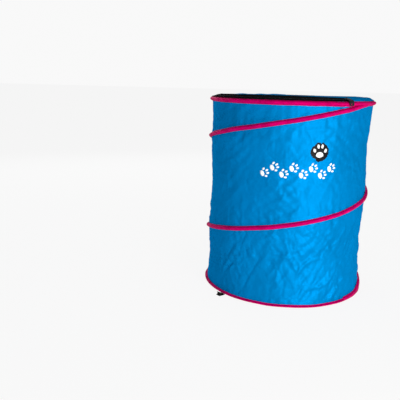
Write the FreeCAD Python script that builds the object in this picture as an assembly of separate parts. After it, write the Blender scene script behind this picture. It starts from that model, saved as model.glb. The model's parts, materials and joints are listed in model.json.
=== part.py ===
import FreeCAD, Part
import math
import os

from FreeCAD import Vector

# Pop-up agility barrel: a fabric tube held open by one spiral of spring wire between two wire hoops,
# with a zipped fabric lid. Millimetres, +Z up, origin at the centre of the base on the floor.
# Angles are degrees about +Z from +X; the front of the barrel faces -Y, which is -90 degrees.

# ---- driving dimensions -------------------------------------------------------------------------
WALL_RADIUS = 297.0           # outside of the fabric tube
TOP_HOOP_Z = 709.0            # centre of the top hoop
BOTTOM_HOOP_Z = 5.0           # centre of the bottom hoop
WIRE_DIAMETER = 3.0
SPIRAL_TURNS = 1.987          # from hoop to hoop
SPIRAL_TOP_ANGLE = -39.6      # where the spiral leaves the top hoop

FACET_DEFLECTION = 0.2        # how far a facet of the spiral's section may leave its arc

FABRIC = 1.0                  # thickness that stands for a fabric skin
RUNNING_GAP = 0.3             # between fabric that moves apart

TAPE_WIDTH = 16.0             # of the trim arched over the spiral and the top hoop
BOTTOM_TAPE_WIDTH = 10.0      # of the trim round the floor, the rest is rolled under
TAPE_DEPTH = 9.0              # how far the trim stands out from the wall
TAPE_THICKNESS = 2.6          # folded and stitched trim
TAPE_SHOULDER = 1.7           # flat edge of the trim before its arch

FERRULE_DIAMETER = 4.6
FERRULE_LENGTH = 30.0
FERRULE_ANGLE = 150.0

SEAM_ANGLE = 115.0
SEAM_TAPE_WIDTH = 20.0

ZIP_SLOPE = 18.0              # the zip climbs inwards from the hoop
ZIP_TAPE_WIDTH = 14.0         # each half, without its coil
ZIP_TAPE_THICKNESS = 0.8
ZIP_COIL_WIDTH = 2.2
ZIP_COIL_HEIGHT = 2.2
ZIP_COIL_GAP = 1.2            # between the two coils, where the slider's post runs
ZIP_LAP = 2.2                 # outer tape sewn flat over the hoop's trim
ZIP_FRONT_END = -57.0         # end of the zip where it is closed
ZIP_REAR_END = -2.0           # end of the zip where it is fully open
ZIP_STOP_LENGTH = 4.0
ZIP_STOP_HEIGHT = 2.8

LID_CROWN = 3.0               # rise of the lid from its edge to its middle
LID_FLAT_RADIUS = 120.0       # of the level middle of the lid
HINGE_ANGLE = -29.5           # direction of the lid's hinge line from the centre
HINGE_DISTANCE = 229.0        # distance of the hinge line from the centre
HINGE_HALF_GAP = 2.5          # room for the fabric to fold at the hinge line

SLIDER_ANGLE = -59.4          # where the slider stands when the lid is closed
SLIDER_LENGTH = 13.0
SLIDER_WIDTH = 10.4
SLIDER_PLATE = 1.1
SLIDER_CHAMBER = 3.0          # height between the plates
SLIDER_SLOT = 1.8             # height between the flanges, where the tapes leave
SLIDER_FLANGE = 1.8
CROWN_HEIGHT = 3.6
CROWN_BAR = 1.0
CROWN_WIDTH = 1.6
CROWN_LENGTH = 9.0
PULL_EYE_RADIUS = 2.5
PULL_EYE_HOLE = 1.3
PULL_EYE_WIDTH = 3.6
PULL_WIDTH = 20.0
PULL_THICKNESS = 1.6
PULL_BAR = 7.0                # width of the pull on each side of its window
PULL_END_BAR = 2.6            # and below it
PULL_WINDOW_LENGTH = 5.0
PULL_DROP_RADIUS = 309.2      # inner face of the pull where it hangs outside the hoop

WEBBING_WIDTH = 20.0
WEBBING_THICKNESS = 1.6
LOOP_RADIUS = 6.0             # rounded outer end of a peg loop, at the webbing's middle
LOOP_REACH = 22.0             # from the loop's root to the centre of that round end
LOOP_ROOT_RADIUS = 307.4      # distance of the root from the barrel's centre
PEG_LOOP_ANGLES = {"front": 218.0, "rear": 38.0}

# ---- derived ------------------------------------------------------------------------------------
AXIS = Vector(0, 0, 1)
CENTRE = Vector(0, 0, 0)
WIRE_CENTRE_RADIUS = WALL_RADIUS + 3.3
TRIM_RADIUS = WALL_RADIUS + RUNNING_GAP
SPIRAL_RISE = TOP_HOOP_Z - BOTTOM_HOOP_Z
SPIRAL_PITCH = SPIRAL_RISE / SPIRAL_TURNS
SPIRAL_BOTTOM_ANGLE = SPIRAL_TOP_ANGLE - 360.0 * SPIRAL_TURNS
TOP_TRIM_TOP = TOP_HOOP_Z + TAPE_WIDTH / 2
TOP_TRIM_BOTTOM = TOP_HOOP_Z - TAPE_WIDTH / 2
BOTTOM_TRIM_TOP = BOTTOM_HOOP_Z + BOTTOM_TAPE_WIDTH / 2
ZIP_SWEEP = 360.0 - (ZIP_REAR_END - ZIP_FRONT_END)
COIL_INNER = ZIP_COIL_GAP / 2
COIL_OUTER = COIL_INNER + ZIP_COIL_WIDTH
BIG = 1000.0

# The zip's two directions in the (radius, height) plane: across points outwards and down the tape,
# up stands square on it.
slope = math.radians(ZIP_SLOPE)
ACROSS = (math.cos(slope), -math.sin(slope))
UP = (math.sin(slope), math.cos(slope))
LAP_MIDDLE_Z = TOP_TRIM_TOP + 0.05 + ZIP_TAPE_THICKNESS / 2
ZIP_LINE = (
    WALL_RADIUS - (ZIP_TAPE_WIDTH + COIL_OUTER) * ACROSS[0],
    LAP_MIDDLE_Z - (ZIP_TAPE_WIDTH + COIL_OUTER) * ACROSS[1],
)


def zip_point(across, up):
    """A point of the zip's cross-section as (radius, height)."""
    return (ZIP_LINE[0] + across * ACROSS[0] + up * UP[0], ZIP_LINE[1] + across * ACROSS[1] + up * UP[1])


TAPE_EDGE = zip_point(-(COIL_OUTER + ZIP_TAPE_WIDTH), 0)
LID_EDGE = (TAPE_EDGE[0] - 0.2, TAPE_EDGE[1])
ZIP_STOP_ANGLE = math.degrees((ZIP_STOP_LENGTH + 0.1) / ZIP_LINE[0])


# ---- shape helpers ------------------------------------------------------------------------------
def outline(points):
    """A closed outline in the XZ plane from (radius, height) pairs."""
    corners = [Vector(radius, 0, height) for radius, height in points]
    return Part.makePolygon(corners + corners[:1])


def revolved(profile, start=0.0, sweep=360.0):
    """A profile in the XZ plane turned about the barrel's axis."""
    face = Part.Face(profile)
    face.rotate(CENTRE, AXIS, start)
    return face.revolve(CENTRE, AXIS, sweep)


def band(inner, outer, low, high, start=0.0, sweep=360.0):
    """A ring or a sector of one with a rectangular section."""
    corners = [(inner, low), (outer, low), (outer, high), (inner, high)]
    return revolved(outline(corners), start, sweep)


def trim_profile(width):
    """Tape arched over a wire, open towards the wall, centred on height 0."""
    half = width / 2
    shoulder = TRIM_RADIUS + max(TAPE_SHOULDER, TAPE_DEPTH - half)
    outer_tip = TRIM_RADIUS + TAPE_DEPTH
    inner_half = half - TAPE_THICKNESS
    corners = {
        "foot_low": Vector(TRIM_RADIUS, 0, -half),
        "shoulder_low": Vector(shoulder, 0, -half),
        "shoulder_high": Vector(shoulder, 0, half),
        "foot_high": Vector(TRIM_RADIUS, 0, half),
        "channel_high": Vector(TRIM_RADIUS, 0, inner_half),
        "channel_low": Vector(TRIM_RADIUS, 0, -inner_half),
    }
    outer_arc = Part.Arc(corners["shoulder_low"], Vector(outer_tip, 0, 0), corners["shoulder_high"])
    channel_tip = Vector(outer_tip - TAPE_THICKNESS, 0, 0)
    inner_arc = Part.Arc(corners["channel_high"], channel_tip, corners["channel_low"])
    return Part.Wire([
        Part.makeLine(corners["foot_low"], corners["shoulder_low"]),
        outer_arc.toShape(),
        Part.makeLine(corners["shoulder_high"], corners["foot_high"]),
        Part.makeLine(corners["foot_high"], corners["channel_high"]),
        inner_arc.toShape(),
        Part.makeLine(corners["channel_low"], corners["foot_low"]),
    ])


def spiral(profile):
    """Sweep a profile, drawn at height 0 in the XZ plane, up the spiral between the hoops' trims.

    Its round stretches are faceted, so that the swept faces stay light.
    """
    path = Part.makeHelix(SPIRAL_PITCH, SPIRAL_RISE, WIRE_CENTRE_RADIUS)
    corners = profile.discretize(Deflection=FACET_DEFLECTION)
    sweep = Part.BRepOffsetAPI.MakePipeShell(path)
    sweep.setBiNormalMode(AXIS)
    sweep.add(Part.makePolygon(corners), False, False)
    sweep.build()
    sweep.makeSolid()
    solid = sweep.shape()
    solid.translate(Vector(0, 0, BOTTOM_HOOP_Z))
    solid.rotate(CENTRE, AXIS, SPIRAL_BOTTOM_ANGLE)
    return solid.common(slab(BOTTOM_TRIM_TOP + RUNNING_GAP, TOP_TRIM_BOTTOM - RUNNING_GAP))


def slab(low, high):
    """All the space between two heights."""
    return Part.makeBox(BIG, BIG, high - low, Vector(-BIG / 2, -BIG / 2, low))


def beyond_hinge(distance):
    """All the space further out than the given distance, in the hinge's direction."""
    block = Part.makeBox(BIG, BIG, BIG, Vector(distance, -BIG / 2, 0))
    block.rotate(CENTRE, AXIS, HINGE_ANGLE)
    return block


FLAP_SIDE = beyond_hinge(HINGE_DISTANCE + HINGE_HALF_GAP)
NOT_LID_SIDE = beyond_hinge(HINGE_DISTANCE - HINGE_HALF_GAP)


def on_zip(shape, angle):
    """Move a shape drawn about the origin onto the zip: X across, Y along and Z square on the tape."""
    shape.rotate(CENTRE, Vector(0, 1, 0), ZIP_SLOPE)
    shape.translate(Vector(ZIP_LINE[0], 0, ZIP_LINE[1]))
    shape.rotate(CENTRE, AXIS, angle)
    return shape


def centred_box(length, width, low, high):
    """A box centred on the Z axis between two heights."""
    return Part.makeBox(length, width, high - low, Vector(-length / 2, -width / 2, low))


# ---- hoops and spiral ---------------------------------------------------------------------------
def hoop_wire(height):
    return Part.makeTorus(WIRE_CENTRE_RADIUS, WIRE_DIAMETER / 2, Vector(0, 0, height))


def ferrule(height):
    """A crimped sleeve round the hoop wire."""
    centre = Vector(WIRE_CENTRE_RADIUS, 0, height)
    across_wire = Vector(0, 1, 0)
    outside = Part.Wire(Part.makeCircle(FERRULE_DIAMETER / 2, centre, across_wire))
    bore = Part.Wire(Part.makeCircle(WIRE_DIAMETER / 2 + 0.05, centre, across_wire))
    sweep = math.degrees(FERRULE_LENGTH / WIRE_CENTRE_RADIUS)
    sleeve = revolved(outside, FERRULE_ANGLE, sweep)
    return sleeve.cut(revolved(bore, FERRULE_ANGLE, sweep))


def hoop_trim(height, width):
    profile = trim_profile(width)
    profile.translate(Vector(0, 0, height))
    return revolved(profile)


def spiral_casing():
    return spiral(trim_profile(TAPE_WIDTH))


def spiral_wire():
    """The wire's free length; its ends run on inside the hoops' trim."""
    centre = Vector(WIRE_CENTRE_RADIUS, 0, 0)
    return spiral(Part.Wire(Part.makeCircle(WIRE_DIAMETER / 2, centre, Vector(0, 1, 0))))


# ---- fabric -------------------------------------------------------------------------------------
def floor_panel():
    return Part.makeCylinder(WALL_RADIUS, FABRIC)


def side_wall():
    return band(WALL_RADIUS - FABRIC, WALL_RADIUS, FABRIC + 0.05, TOP_TRIM_TOP - RUNNING_GAP)


def side_seam_tape():
    outer = WALL_RADIUS - FABRIC - 0.05
    sweep = math.degrees(SEAM_TAPE_WIDTH / outer)
    return band(outer - FABRIC, outer, FABRIC + 2, TOP_TRIM_BOTTOM, SEAM_ANGLE - sweep / 2, sweep)


def lid_disc():
    """The whole lid panel, crowned, out to the zip's inner tape."""
    radius, height = LID_EDGE
    under = height - FABRIC / 2
    over = height + FABRIC / 2
    return revolved(outline([
        (0, under + LID_CROWN),
        (LID_FLAT_RADIUS, under + LID_CROWN),
        (radius, under),
        (radius, over),
        (LID_FLAT_RADIUS, over + LID_CROWN),
        (0, over + LID_CROWN),
    ]))


def lap_points():
    """The sewn edge that lies flat on the hoop's trim, upper corners first."""
    low = TOP_TRIM_TOP + 0.05
    high = low + ZIP_TAPE_THICKNESS
    return [(WALL_RADIUS, high), (WALL_RADIUS + ZIP_LAP, high), (WALL_RADIUS + ZIP_LAP, low)]


def hinge_flap():
    """The unzipped sector between hoop and hinge line, and what lies beyond the hinge line."""
    radius, height = LID_EDGE
    lap = lap_points()
    under_fold = (WALL_RADIUS - 0.4, lap[2][1])
    points = [(radius, height + FABRIC / 2)] + lap + [under_fold, (radius, height - FABRIC / 2)]
    border = revolved(outline(points), ZIP_FRONT_END, ZIP_REAR_END - ZIP_FRONT_END)
    return border.fuse(lid_disc().common(FLAP_SIDE)).removeSplitter()


def lid_panel():
    return lid_disc().cut(NOT_LID_SIDE)


# ---- zip ----------------------------------------------------------------------------------------
def outer_zip_tape():
    lap = lap_points()
    half = ZIP_TAPE_THICKNESS / 2
    under_fold = (WALL_RADIUS - 0.4, lap[2][1])
    points = [zip_point(COIL_OUTER, half)] + lap + [under_fold, zip_point(COIL_OUTER, -half)]
    return revolved(outline(points), ZIP_REAR_END, ZIP_SWEEP)


def zip_band(near, far, half, end_gap=0.0):
    """A zip part that runs from one end of the zip to the other, less a gap at each end."""
    points = [zip_point(near, -half), zip_point(far, -half), zip_point(far, half), zip_point(near, half)]
    return revolved(outline(points), ZIP_REAR_END + end_gap, ZIP_SWEEP - 2 * end_gap)


def outer_zip_coil():
    return zip_band(COIL_INNER, COIL_OUTER, ZIP_COIL_HEIGHT / 2, ZIP_STOP_ANGLE)


def inner_tape_band():
    return zip_band(-COIL_OUTER - ZIP_TAPE_WIDTH, -COIL_OUTER, ZIP_TAPE_THICKNESS / 2)


def inner_coil_band():
    return zip_band(-COIL_OUTER, -COIL_INNER, ZIP_COIL_HEIGHT / 2, ZIP_STOP_ANGLE)


def zip_stops():
    """A crimp across both coils at each end of the zip."""
    stops = []
    for angle, inwards in ((ZIP_FRONT_END, -1), (ZIP_REAR_END, 1)):
        crimp = centred_box(2 * COIL_OUTER, ZIP_STOP_LENGTH, -ZIP_STOP_HEIGHT / 2, ZIP_STOP_HEIGHT / 2)
        stops.append(on_zip(crimp, angle + inwards * ZIP_STOP_ANGLE / 2))
    return Part.makeCompound(stops)


def slider_body():
    """Two plates joined by a post between the coils, with flanges that keep the coils in."""
    half = SLIDER_CHAMBER / 2
    body = centred_box(COIL_INNER, 4.5, -half, half)
    body.translate(Vector(0, 3.2, 0))
    for side in (-1, 1):
        low, high = sorted((side * half, side * (half + SLIDER_PLATE)))
        plate = centred_box(SLIDER_WIDTH, SLIDER_LENGTH, low, high)
        upright = [edge for edge in plate.Edges if abs(edge.tangentAt(edge.FirstParameter).z) > 0.9]
        body = body.fuse(plate.makeChamfer(2.2, upright))
        low, high = sorted((side * SLIDER_SLOT / 2, side * half))
        for edge_side in (-1, 1):
            flange = centred_box(SLIDER_FLANGE, SLIDER_LENGTH - 4.4, low, high)
            flange.translate(Vector(edge_side * (SLIDER_WIDTH - SLIDER_FLANGE) / 2, 0, 0))
            body = body.fuse(flange)
    return on_zip(body.removeSplitter(), SLIDER_ANGLE)


CROWN_FOOT = SLIDER_CHAMBER / 2 + SLIDER_PLATE
PIVOT_HEIGHT = CROWN_FOOT + CROWN_HEIGHT - CROWN_BAR / 2


def slider_crown():
    """A bail along the zip; the pull's eye turns on its bar."""
    crown = centred_box(CROWN_WIDTH, CROWN_LENGTH, CROWN_FOOT, CROWN_FOOT + CROWN_HEIGHT)
    window_top = CROWN_FOOT + CROWN_HEIGHT - CROWN_BAR
    window = centred_box(2 * CROWN_WIDTH, CROWN_LENGTH - 3.0, CROWN_FOOT, window_top)
    return on_zip(crown.cut(window), SLIDER_ANGLE)


def pull_eye():
    pivot = Vector(0, -PULL_EYE_WIDTH / 2, PIVOT_HEIGHT)
    along = Vector(0, 1, 0)
    ring = Part.makeCylinder(PULL_EYE_RADIUS, PULL_EYE_WIDTH, pivot, along)
    return on_zip(ring.cut(Part.makeCylinder(PULL_EYE_HOLE, PULL_EYE_WIDTH, pivot, along)), SLIDER_ANGLE)


def pull_frame():
    """A plate bent over the hoop: down the tape's slope, round, and down outside, with a window there."""
    start = zip_point(PULL_EYE_RADIUS + 0.05, PIVOT_HEIGHT - PULL_THICKNESS / 2)
    bend_start = zip_point(17.0, PIVOT_HEIGHT - PULL_THICKNESS / 2)
    bend_end = (PULL_DROP_RADIUS, bend_start[1] - 9.0)
    bend_middle = (PULL_DROP_RADIUS - 2.3, bend_start[1] - 3.0)
    tip = (PULL_DROP_RADIUS, bend_end[1] - 9.5)
    start, bend_start, bend_middle, bend_end, tip = [
        Vector(radius, 0, height) for radius, height in (start, bend_start, bend_middle, bend_end, tip)
    ]
    line = Part.Wire([
        Part.makeLine(start, bend_start),
        Part.Arc(bend_start, bend_middle, bend_end).toShape(),
        Part.makeLine(bend_end, tip),
    ])
    strip = line.makeOffset2D(-PULL_THICKNESS, 0, True, True)
    frame = strip.extrude(Vector(0, PULL_WIDTH, 0))
    frame.translate(Vector(0, -PULL_WIDTH / 2, 0))
    opening = PULL_WIDTH - 2 * PULL_BAR
    corner = Vector(PULL_DROP_RADIUS - 2, -opening / 2, tip.z + PULL_END_BAR)
    window = Part.makeBox(6, opening, PULL_WINDOW_LENGTH, corner)
    frame = frame.cut(window)
    frame.rotate(CENTRE, AXIS, SLIDER_ANGLE)
    return frame


# ---- peg loops ----------------------------------------------------------------------------------
def peg_loop(angle):
    """Webbing folded into a drop-shaped loop that lies on the floor, its hole along the hoop."""
    half = WEBBING_THICKNESS / 2
    floor_z = half
    centre_z = floor_z + LOOP_RADIUS
    root_gap = WEBBING_THICKNESS + 0.1
    outer_end = LOOP_RADIUS + half
    inner_end = LOOP_RADIUS - half

    def drop(radius, root_low, root_high):
        """Outline through both root corners and round the outer end."""
        run = math.hypot(LOOP_REACH, root_high - centre_z)
        lean = math.atan2(root_high - centre_z, -LOOP_REACH)
        touch = lean - math.acos(radius / run)
        top = Vector(LOOP_REACH + radius * math.cos(touch), 0, centre_z + radius * math.sin(touch))
        bottom = Vector(LOOP_REACH, 0, centre_z - radius)
        tip = Vector(LOOP_REACH + radius, 0, centre_z)
        low_corner = Vector(0, 0, root_low)
        high_corner = Vector(0, 0, root_high)
        return Part.Face(Part.Wire([
            Part.makeLine(low_corner, bottom),
            Part.Arc(bottom, tip, top).toShape(),
            Part.makeLine(top, high_corner),
            Part.makeLine(high_corner, low_corner),
        ]))

    skin = drop(outer_end, 0, root_gap + WEBBING_THICKNESS)
    hollow = drop(inner_end, WEBBING_THICKNESS, root_gap)
    loop = skin.cut(hollow).extrude(Vector(0, WEBBING_WIDTH, 0))
    loop.translate(Vector(LOOP_ROOT_RADIUS, -WEBBING_WIDTH / 2, 0))
    loop.rotate(CENTRE, AXIS, angle)
    return loop


# ---- the sub-parts ------------------------------------------------------------------------------
PARTS = {
    "floor_panel": floor_panel(),
    "bottom_ring_wire": hoop_wire(BOTTOM_HOOP_Z),
    "bottom_ring_ferrule": ferrule(BOTTOM_HOOP_Z),
    "bottom_ring_binding": hoop_trim(BOTTOM_HOOP_Z, BOTTOM_TAPE_WIDTH),
    "side_wall": side_wall(),
    "side_seam_tape": side_seam_tape(),
    "spiral_wire": spiral_wire(),
    "spiral_casing": spiral_casing(),
    "top_ring_wire": hoop_wire(TOP_HOOP_Z),
    "top_ring_ferrule": ferrule(TOP_HOOP_Z),
    "top_ring_binding": hoop_trim(TOP_HOOP_Z, TAPE_WIDTH),
    "hinge_flap": hinge_flap(),
    "outer_zip_tape": outer_zip_tape(),
    "outer_zip_coil": outer_zip_coil(),
    "zip_end_tape": inner_tape_band().common(FLAP_SIDE),
    "zip_end_coil": inner_coil_band().common(FLAP_SIDE),
    "zip_stops": zip_stops(),
    "lid_panel": lid_panel(),
    "inner_zip_tape": inner_tape_band().cut(NOT_LID_SIDE),
    "inner_zip_coil": inner_coil_band().cut(NOT_LID_SIDE),
    "slider_body": slider_body(),
    "slider_crown": slider_crown(),
    "pull_eye": pull_eye(),
    "pull_frame": pull_frame(),
}
for place, peg_angle in PEG_LOOP_ANGLES.items():
    PARTS["peg_loop_" + place] = peg_loop(peg_angle)

os.makedirs("parts", exist_ok=True)
for node, shape in PARTS.items():
    shape.exportStep("parts/" + node + ".step")
    box = shape.BoundBox
    print(f"{node:22s} solids {len(shape.Solids)} valid {shape.isValid()} volume {shape.Volume:10.1f}"
          f"  z {box.ZMin:7.2f} {box.ZMax:7.2f}  x {box.XMin:7.2f} {box.XMax:7.2f}")
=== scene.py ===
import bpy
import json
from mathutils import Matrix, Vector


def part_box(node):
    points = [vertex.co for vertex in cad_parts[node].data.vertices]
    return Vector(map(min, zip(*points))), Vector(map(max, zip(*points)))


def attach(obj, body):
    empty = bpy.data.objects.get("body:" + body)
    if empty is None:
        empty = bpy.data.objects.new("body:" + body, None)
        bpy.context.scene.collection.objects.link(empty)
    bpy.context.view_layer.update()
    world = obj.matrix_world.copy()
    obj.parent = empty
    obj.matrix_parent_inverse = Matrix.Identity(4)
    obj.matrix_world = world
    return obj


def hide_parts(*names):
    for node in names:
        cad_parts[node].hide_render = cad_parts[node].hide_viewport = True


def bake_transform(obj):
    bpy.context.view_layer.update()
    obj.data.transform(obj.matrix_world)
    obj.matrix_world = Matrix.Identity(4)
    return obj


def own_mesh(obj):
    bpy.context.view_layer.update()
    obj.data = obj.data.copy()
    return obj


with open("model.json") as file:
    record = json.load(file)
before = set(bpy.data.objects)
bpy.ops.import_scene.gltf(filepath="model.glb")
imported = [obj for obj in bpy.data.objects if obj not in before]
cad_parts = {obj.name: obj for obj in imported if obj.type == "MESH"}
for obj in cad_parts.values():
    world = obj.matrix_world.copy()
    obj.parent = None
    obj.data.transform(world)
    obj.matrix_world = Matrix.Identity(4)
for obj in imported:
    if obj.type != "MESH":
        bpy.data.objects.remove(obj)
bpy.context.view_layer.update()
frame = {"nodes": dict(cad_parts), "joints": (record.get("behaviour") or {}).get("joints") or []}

import json
import math

import bpy
import numpy as np
from mathutils import Matrix, Vector

# Looks for a pop-up agility barrel. Metres, +Z up; angles are degrees about +Z from +X, and the
# front of the barrel faces -Y, which is -90. Heights on the wall are z, and lengths round it are
# measured along the fabric.

# ---- sizes and places, read from the frame -------------------------------------------------------
WALL_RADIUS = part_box("side_wall")[1].x
WALL_LOW, WALL_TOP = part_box("side_wall")[0].z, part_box("side_wall")[1].z
GIRTH = 2 * math.pi * WALL_RADIUS
TRIM_LOW, TRIM_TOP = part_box("top_ring_binding")[0].z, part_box("top_ring_binding")[1].z
TRIM_WIDTH = TRIM_TOP - TRIM_LOW
BOTTOM_TRIM_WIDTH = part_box("bottom_ring_binding")[1].z
TRIM_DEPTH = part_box("top_ring_binding")[1].x - WALL_RADIUS
TOP_HOOP_Z = (TRIM_LOW + TRIM_TOP) / 2
BOTTOM_HOOP_Z = BOTTOM_TRIM_WIDTH / 2
WIRE_RADIUS = (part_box("top_ring_wire")[1].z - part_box("top_ring_wire")[0].z) / 2
WIRE_CENTRE_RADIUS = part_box("top_ring_wire")[1].x - WIRE_RADIUS

JOINTS = {joint["name"]: joint for joint in frame["joints"]}
PULL_PIVOT = Vector(JOINTS["pull_swing"]["pos_m"])
SLIDER_ANGLE = math.degrees(math.atan2(PULL_PIVOT.y, PULL_PIVOT.x))

SPIRAL_TURNS = 1.987
SPIRAL_TOP_ANGLE = -39.6
SPIRAL_RISE = TOP_HOOP_Z - BOTTOM_HOOP_Z
SPIRAL_PITCH = SPIRAL_RISE / SPIRAL_TURNS
SPIRAL_BOTTOM_ANGLE = SPIRAL_TOP_ANGLE - 360 * SPIRAL_TURNS
RUN_IN = 14.0                                               # degrees it runs along the lower hoop

ZIP_SLOPE = math.radians(18)
ZIP_FRONT_END, ZIP_REAR_END = -57.0, -2.0
ZIP_TAPE_WIDTH = 0.014
COIL_INNER, COIL_OUTER = 0.0006, 0.0028
PIVOT_HEIGHT = 0.0057                                      # of the pull's pivot above the zip's line
ZIP_UP = (math.sin(ZIP_SLOPE), math.cos(ZIP_SLOPE))
ZIP_ACROSS = (math.cos(ZIP_SLOPE), -math.sin(ZIP_SLOPE))
ZIP_LINE = (
    math.hypot(PULL_PIVOT.x, PULL_PIVOT.y) - PIVOT_HEIGHT * ZIP_UP[0],
    PULL_PIVOT.z - PIVOT_HEIGHT * ZIP_UP[1],
)
LID_RADIUS = ZIP_LINE[0] - (COIL_OUTER + ZIP_TAPE_WIDTH) * ZIP_ACROSS[0]
LID_EDGE_Z = ZIP_LINE[1] - (COIL_OUTER + ZIP_TAPE_WIDTH) * ZIP_ACROSS[1]

random = np.random.default_rng(5)
scene = bpy.context.scene
scene.view_settings.view_transform = "Standard"


# ---- materials -----------------------------------------------------------------------------------
class Finish:
    """A material with a Principled shader and short calls for its nodes."""

    def __init__(self, name, colour, roughness, metallic=0.0, sheen=0.0, specular=0.5):
        self.material = bpy.data.materials.new(name)
        self.material.use_nodes = True
        self.nodes = self.material.node_tree.nodes
        self.links = self.material.node_tree.links
        self.shader = self.nodes["Principled BSDF"]
        self.shader.inputs["Base Color"].default_value = (*colour, 1)
        self.shader.inputs["Roughness"].default_value = roughness
        self.shader.inputs["Metallic"].default_value = metallic
        self.shader.inputs["Sheen Weight"].default_value = sheen
        self.shader.inputs["Specular IOR Level"].default_value = specular
        self.height = None

    def node(self, kind, **values):
        """A node with its properties and input values set by name or number."""
        made = self.nodes.new("ShaderNode" + kind)
        inputs = values.pop("inputs", {})
        for name, value in values.items():
            setattr(made, name, value)
        for name, value in inputs.items():
            self.feed(made, name, value)
        return made

    def feed(self, node, name, value):
        if hasattr(value, "is_linked"):
            self.links.new(value, node.inputs[name])
        else:
            node.inputs[name].default_value = value

    def math(self, operation, *values):
        made = self.node("Math", operation=operation)
        for index, value in enumerate(values):
            self.feed(made, index, value)
        return made.outputs[0]

    def object_place(self):
        return self.node("TexCoord").outputs["Object"]

    def cloth_place(self):
        """Metres along and up the cloth, from the mesh's own UV map."""
        split = self.node("SeparateXYZ")
        self.links.new(self.node("TexCoord").outputs["UV"], split.inputs[0])
        return split.outputs[0], split.outputs[1]

    def noise(self, scale, detail=3.0, place=None):
        made = self.node("TexNoise", inputs={"Scale": scale, "Detail": detail})
        self.links.new(place or self.object_place(), made.inputs["Vector"])
        return made.outputs[0]

    def folds(self, lean, length, width):
        """Distance from the nearest line of a net of straight folds, drawn out along a slant."""
        along, up = self.cloth_place()
        cos, sin = math.cos(math.radians(lean)), math.sin(math.radians(lean))

        def turned(first, second, size):
            return self.math("ADD", self.math("MULTIPLY", along, first / size),
                             self.math("MULTIPLY", up, second / size))

        sides = {0: turned(cos, sin, length), 1: turned(-sin, cos, width)}
        place = self.node("CombineXYZ", inputs=sides)
        made = self.node("TexVoronoi", feature="DISTANCE_TO_EDGE", inputs={"Scale": 1.0})
        self.links.new(place.outputs[0], made.inputs["Vector"])
        return made.outputs[0]

    def ramp(self, value, *stops):
        """Colours by value: each stop is (place, colour)."""
        made = self.node("ValToRGB")
        self.links.new(value, made.inputs[0])
        elements = made.color_ramp.elements
        while len(elements) < len(stops):
            elements.new(0.5)
        for element, (place, colour) in zip(elements, stops):
            element.position = place
            element.color = (*colour, 1)
        return made.outputs[0]

    def wave(self, value, pitch):
        """A sine of a length in metres."""
        return self.math("SINE", self.math("MULTIPLY", value, 2 * math.pi / pitch))

    def colour(self, socket):
        self.links.new(socket, self.shader.inputs["Base Color"])

    def roughness(self, value, low, high):
        made = self.node("MapRange", inputs={"To Min": low, "To Max": high})
        self.links.new(value, made.inputs["Value"])
        self.links.new(made.outputs[0], self.shader.inputs["Roughness"])

    def bump(self, height, distance, strength=1.0):
        """Adds relief of that depth in metres, over what is there already."""
        made = self.node("Bump", inputs={"Strength": strength, "Distance": distance})
        self.links.new(height, made.inputs["Height"])
        if self.height:
            self.links.new(self.height, made.inputs["Normal"])
        self.height = made.outputs[0]
        self.links.new(self.height, self.shader.inputs["Normal"])


def shades(colour, *factors):
    return [tuple(min(1.0, channel * factor) for channel in colour) for factor in factors]


def nylon_finish():
    """Blue coated nylon: plain weave, satin shine of its own colour, random tone, a painted highlight on its
    crease ridges and painted shade in its hollows.
    """
    colour = (0.0, 0.165, 0.43)
    finish = Finish("nylon_blue", colour, 0.48, metallic=0.35, specular=0.0)
    finish.shader.inputs["Specular Tint"].default_value = (0.0, 0.75, 1.0, 1)
    cloud = finish.noise(7.0, 4.0)
    fine = finish.noise(95.0, 4.0)
    # Painted light: pointiness makes the colour paler on convex crease ridges (painted highlight) and darker
    # in hollows (painted shade); the cloud noise adds random tone.
    ridge = finish.node("NewGeometry").outputs["Pointiness"]
    cloud_and_crease_shading = finish.math("ADD", finish.math("MULTIPLY", cloud, 0.55), finish.math("MULTIPLY", ridge, 0.5))
    dark, middle, pale = shades(colour, 0.84, 1.0, 1.14)
    finish.colour(finish.ramp(cloud_and_crease_shading, (0.35, dark), (0.52, middle), (0.72, pale)))
    finish.roughness(fine, 0.38, 0.56)
    along, up = finish.cloth_place()
    weave = finish.math("MULTIPLY", finish.wave(along, 0.0011), finish.wave(up, 0.0011))
    split = finish.node("SeparateXYZ", inputs={0: finish.object_place()})
    low = finish.node("MapRange", inputs={0: split.outputs[2], 1: 0.25, 2: 0.45, 3: 1.0, 4: 0.35}).outputs[0]
    patches = finish.node("MapRange", inputs={0: finish.noise(6.0, 1.0), 1: 0.42, 2: 0.6, 3: 0.15, 4: 1.0})
    cover = finish.math("MULTIPLY", low, patches.outputs[0])
    for lean, length, width, depth in ((60, 0.14, 0.034, 0.0080), (-47, 0.10, 0.028, 0.0050)):
        finish.bump(finish.math("MULTIPLY", finish.folds(lean, length, width), cover), depth, 0.6)
    finish.bump(fine, 0.0012, 0.35)
    finish.bump(weave, 0.00012, 0.5)
    return finish.material


def tape_finish(name, colour, roughness, rib=0.0013, specular=0.1, metallic=0.0):
    """Woven tape with ribs across it and a nap that is paler where it has rubbed."""
    finish = Finish(name, colour, roughness, metallic, specular=specular)
    cloud = finish.noise(38.0, 4.0)
    dark, middle, pale = shades(colour, 0.8, 1.0, 1.16)
    finish.colour(finish.ramp(cloud, (0.32, dark), (0.5, middle), (0.7, pale)))
    finish.roughness(finish.noise(160.0), roughness - 0.08, roughness + 0.1)
    along, up = finish.cloth_place()
    twill = finish.wave(finish.math("ADD", along, finish.math("MULTIPLY", up, 1.7)), rib)
    finish.bump(twill, 0.00022, 0.55)
    finish.bump(finish.noise(420.0), 0.0003, 0.3)
    return finish.material


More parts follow.
